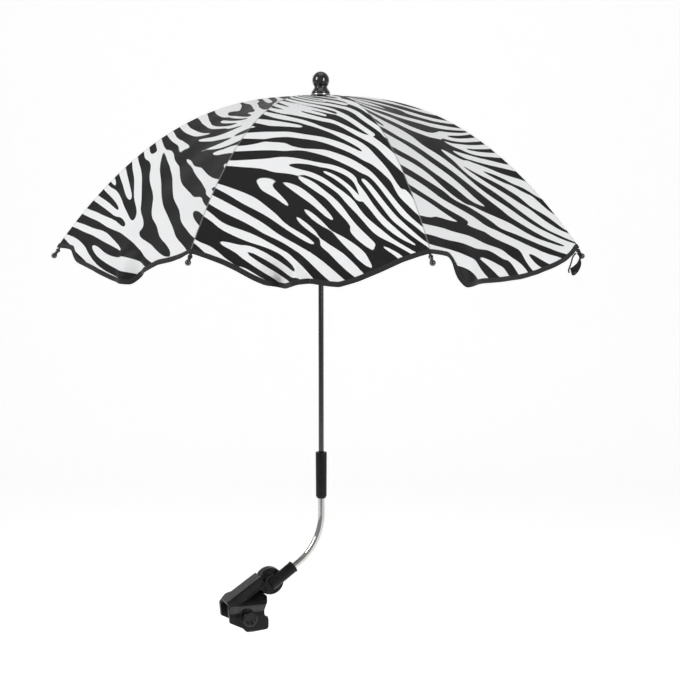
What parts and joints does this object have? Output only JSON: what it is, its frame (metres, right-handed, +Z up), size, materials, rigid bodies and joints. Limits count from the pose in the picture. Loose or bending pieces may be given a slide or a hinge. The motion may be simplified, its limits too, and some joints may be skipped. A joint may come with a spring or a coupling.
{
  "type": "stroller parasol",
  "caption": "Folding scalloped parasol on a slim shaft, with a bent tube arm, a tilting knuckle and a screw clamp that grips a handlebar or frame tube.",
  "frame": {"origin": "centre of the handlebar tube that the clamp grips", "axes": "+X along the gripped tube, +Z up along the parasol's shaft, +Y away from the screw knob"},
  "size_m": [0.8154, 0.8154, 0.8487],
  "materials": {
    "printed_cloth": "black and white striped satin weave",
    "black_binding": "black woven tape",
    "gloss_black": "polished black moulding",
    "matte_black": "fine moulded texture",
    "gunmetal": "dark gunmetal paint",
    "chrome": "polished chrome",
    "zinc_steel": "zinc plated",
    "soft_rubber": "soft black rubber"
  },
  "bodies": {
    "clamp": {"clamp_body": "matte_black", "jaw_pad": "soft_rubber"},
    "pressure_foot": {"pressure_foot": "matte_black"},
    "clamp_screw": {"spindle": "zinc_steel", "clamp_knob": "matte_black"},
    "knuckle_knob": {"knuckle_knob": "matte_black"},
    "socket": {"socket": "matte_black", "knuckle_bolt": "zinc_steel", "knuckle_washer": "soft_rubber"},
    "arm": {"arm_tube": "chrome", "sleeve": "matte_black", "sleeve_bush": "matte_black"},
    "shaft": {"shaft": "gunmetal", "shaft_plug": "matte_black", "top_notch": "gloss_black", "notch_ring": "zinc_steel", "canopy_washer": "black_binding", "cap_ring": "zinc_steel", "finial": "gloss_black"},
    "runner": {"runner": "matte_black", "runner_ring": "zinc_steel"},
    "top_catch": {"top_catch": "zinc_steel"},
    "bottom_catch": {"bottom_catch": "zinc_steel"},
    "rib_1": {"rib_1": "gunmetal", "rib_tip_1": "gloss_black", "canopy_gore_1": "printed_cloth"},
    "stretcher_1": {"stretcher_1": "gunmetal"},
    "rib_2": {"rib_2": "gunmetal", "rib_tip_2": "gloss_black", "canopy_gore_2": "printed_cloth"},
    "stretcher_2": {"stretcher_2": "gunmetal"},
    "rib_3": {"rib_3": "gunmetal", "rib_tip_3": "gloss_black", "canopy_gore_3": "printed_cloth"},
    "stretcher_3": {"stretcher_3": "gunmetal"},
    "rib_4": {"rib_4": "gunmetal", "rib_tip_4": "gloss_black", "canopy_gore_4": "printed_cloth"},
    "stretcher_4": {"stretcher_4": "gunmetal"},
    "rib_5": {"rib_5": "gunmetal", "rib_tip_5": "gloss_black", "canopy_gore_5": "printed_cloth"},
    "stretcher_5": {"stretcher_5": "gunmetal"},
    "rib_6": {"rib_6": "gunmetal", "rib_tip_6": "gloss_black", "canopy_gore_6": "printed_cloth"},
    "stretcher_6": {"stretcher_6": "gunmetal"},
    "rib_7": {"rib_7": "gunmetal", "rib_tip_7": "gloss_black", "canopy_gore_7": "printed_cloth"},
    "stretcher_7": {"stretcher_7": "gunmetal"},
    "rib_8": {"rib_8": "gunmetal", "rib_tip_8": "gloss_black", "canopy_gore_8": "printed_cloth"},
    "stretcher_8": {"stretcher_8": "gunmetal"},
    "closure_strap": {"closure_strap": "black_binding", "strap_snap": "gloss_black"}
  },
  "joints": [
    {"name": "clamp_foot_slide", "type": "slide", "parent": "clamp", "child": "pressure_foot", "axis": [0, 1, 0], "range_m": [-0.0051, 0.0034]},
    {"name": "clamp_knob_turn", "type": "hinge", "parent": "pressure_foot", "child": "clamp_screw", "pos_m": [0, 0, 0], "axis": [0, 1, 0], "range_deg": [-1200, 800]},
    {"name": "arm_tilt", "type": "hinge", "parent": "clamp", "child": "socket", "pos_m": [0.0455, 0, 0.0446], "axis": [0, 1, 0], "range_deg": [-60, 50]},
    {"name": "knuckle_knob_turn", "type": "hinge", "parent": "socket", "child": "knuckle_knob", "pos_m": [0.0455, 0, 0.0446], "axis": [0, 1, 0], "continuous": true},
    {"name": "arm_turn", "type": "hinge", "parent": "socket", "child": "arm", "pos_m": [0.04645, -0.016, 0.04325], "axis": [0.8192, 0, 0.5736], "range_deg": [-45, 45]},
    {"name": "shaft_swivel", "type": "hinge", "parent": "arm", "child": "shaft", "pos_m": [0.126, -0.016, 0.22], "axis": [0, 0, 1], "continuous": true},
    {"name": "runner_slide", "type": "slide", "parent": "shaft", "child": "runner", "axis": [0, 0, -1], "range_m": [0, 0.2328]},
    {"name": "top_catch_press", "type": "slide", "parent": "shaft", "child": "top_catch", "axis": [0, -1, 0], "range_m": [0, 0.0017], "stiffness_N_per_m": 800, "springref_m": -0.001},
    {"name": "bottom_catch_press", "type": "slide", "parent": "shaft", "child": "bottom_catch", "axis": [0, -1, 0], "range_m": [0, 0.0017], "stiffness_N_per_m": 800, "springref_m": -0.001},
    {"name": "rib_1_fold", "type": "hinge", "parent": "shaft", "child": "rib_1", "pos_m": [0.1355, -0.016, 0.7766], "axis": [0, 1, 0], "range_deg": [-1, 60.69], "deforming": ["canopy_gore_1"]},
    {"name": "stretcher_1_fold", "type": "hinge", "parent": "rib_1", "child": "stretcher_1", "pos_m": [0.31273, -0.016, 0.74321], "axis": [0, 1, 0], "range_deg": [-105.12, 1]},
    {"name": "rib_2_fold", "type": "hinge", "parent": "shaft", "child": "rib_2", "pos_m": [0.13272, -0.00928, 0.7766], "axis": [-0.7071, 0.7071, 0], "range_deg": [-1, 60.69], "deforming": ["canopy_gore_2"]},
    {"name": "stretcher_2_fold", "type": "hinge", "parent": "rib_2", "child": "stretcher_2", "pos_m": [0.25804, 0.11604, 0.74321], "axis": [-0.7071, 0.7071, 0], "range_deg": [-105.12, 1]},
    {"name": "rib_3_fold", "type": "hinge", "parent": "shaft", "child": "rib_3", "pos_m": [0.126, -0.0065, 0.7766], "axis": [-1, 0, 0], "range_deg": [-1, 60.69], "deforming": ["canopy_gore_3"]},
    {"name": "stretcher_3_fold", "type": "hinge", "parent": "rib_3", "child": "stretcher_3", "pos_m": [0.126, 0.17073, 0.74321], "axis": [-1, 0, 0], "range_deg": [-105.12, 1]},
    {"name": "rib_4_fold", "type": "hinge", "parent": "shaft", "child": "rib_4", "pos_m": [0.11928, -0.00928, 0.7766], "axis": [-0.7071, -0.7071, 0], "range_deg": [-1, 60.69], "deforming": ["canopy_gore_4"]},
    {"name": "stretcher_4_fold", "type": "hinge", "parent": "rib_4", "child": "stretcher_4", "pos_m": [-0.00604, 0.11604, 0.74321], "axis": [-0.7071, -0.7071, 0], "range_deg": [-105.12, 1]},
    {"name": "rib_5_fold", "type": "hinge", "parent": "shaft", "child": "rib_5", "pos_m": [0.1165, -0.016, 0.7766], "axis": [0, -1, 0], "range_deg": [-1, 60.69], "deforming": ["canopy_gore_5"]},
    {"name": "stretcher_5_fold", "type": "hinge", "parent": "rib_5", "child": "stretcher_5", "pos_m": [-0.06073, -0.016, 0.74321], "axis": [0, -1, 0], "range_deg": [-105.12, 1]},
    {"name": "rib_6_fold", "type": "hinge", "parent": "shaft", "child": "rib_6", "pos_m": [0.11928, -0.02272, 0.7766], "axis": [0.7071, -0.7071, 0], "range_deg": [-1, 60.69], "deforming": ["canopy_gore_6"]},
    {"name": "stretcher_6_fold", "type": "hinge", "parent": "rib_6", "child": "stretcher_6", "pos_m": [-0.00604, -0.14804, 0.74321], "axis": [0.7071, -0.7071, 0], "range_deg": [-105.12, 1]},
    {"name": "rib_7_fold", "type": "hinge", "parent": "shaft", "child": "rib_7", "pos_m": [0.126, -0.0255, 0.7766], "axis": [1, 0, 0], "range_deg": [-1, 60.69], "deforming": ["canopy_gore_7"]},
    {"name": "stretcher_7_fold", "type": "hinge", "parent": "rib_7", "child": "stretcher_7", "pos_m": [0.126, -0.20273, 0.74321], "axis": [1, 0, 0], "range_deg": [-105.12, 1]},
    {"name": "rib_8_fold", "type": "hinge", "parent": "shaft", "child": "rib_8", "pos_m": [0.13272, -0.02272, 0.7766], "axis": [0.7071, 0.7071, 0], "range_deg": [-1, 60.69], "deforming": ["canopy_gore_8"]},
    {"name": "stretcher_8_fold", "type": "hinge", "parent": "rib_8", "child": "stretcher_8", "pos_m": [0.25804, -0.14804, 0.74321], "axis": [0.7071, 0.7071, 0], "range_deg": [-105.12, 1]},
    {"name": "strap_swing", "type": "hinge", "parent": "rib_8", "child": "closure_strap", "pos_m": [0.40474, -0.30082, 0.556], "axis": [0.7071, 0.7071, 0], "range_deg": [-60.69, 1]}
  ],
  "couplings": [
    {"joint": "clamp_foot_slide", "follows": "clamp_knob_turn", "m_per_rad": 0.00023873},
    {"joint": "rib_1_fold", "follows": "runner_slide", "rad_per_m": 4.4749},
    {"joint": "stretcher_1_fold", "follows": "runner_slide", "rad_per_m": -7.8064},
    {"joint": "rib_2_fold", "follows": "runner_slide", "rad_per_m": 4.4749},
    {"joint": "stretcher_2_fold", "follows": "runner_slide", "rad_per_m": -7.8064},
    {"joint": "rib_3_fold", "follows": "runner_slide", "rad_per_m": 4.4749},
    {"joint": "stretcher_3_fold", "follows": "runner_slide", "rad_per_m": -7.8064},
    {"joint": "rib_4_fold", "follows": "runner_slide", "rad_per_m": 4.4749},
    {"joint": "stretcher_4_fold", "follows": "runner_slide", "rad_per_m": -7.8064},
    {"joint": "rib_5_fold", "follows": "runner_slide", "rad_per_m": 4.4749},
    {"joint": "stretcher_5_fold", "follows": "runner_slide", "rad_per_m": -7.8064},
    {"joint": "rib_6_fold", "follows": "runner_slide", "rad_per_m": 4.4749},
    {"joint": "stretcher_6_fold", "follows": "runner_slide", "rad_per_m": -7.8064},
    {"joint": "rib_7_fold", "follows": "runner_slide", "rad_per_m": 4.4749},
    {"joint": "stretcher_7_fold", "follows": "runner_slide", "rad_per_m": -7.8064},
    {"joint": "rib_8_fold", "follows": "runner_slide", "rad_per_m": 4.4749},
    {"joint": "stretcher_8_fold", "follows": "runner_slide", "rad_per_m": -7.8064},
    {"joint": "strap_swing", "follows": "runner_slide", "rad_per_m": -4.4749}
  ]
}
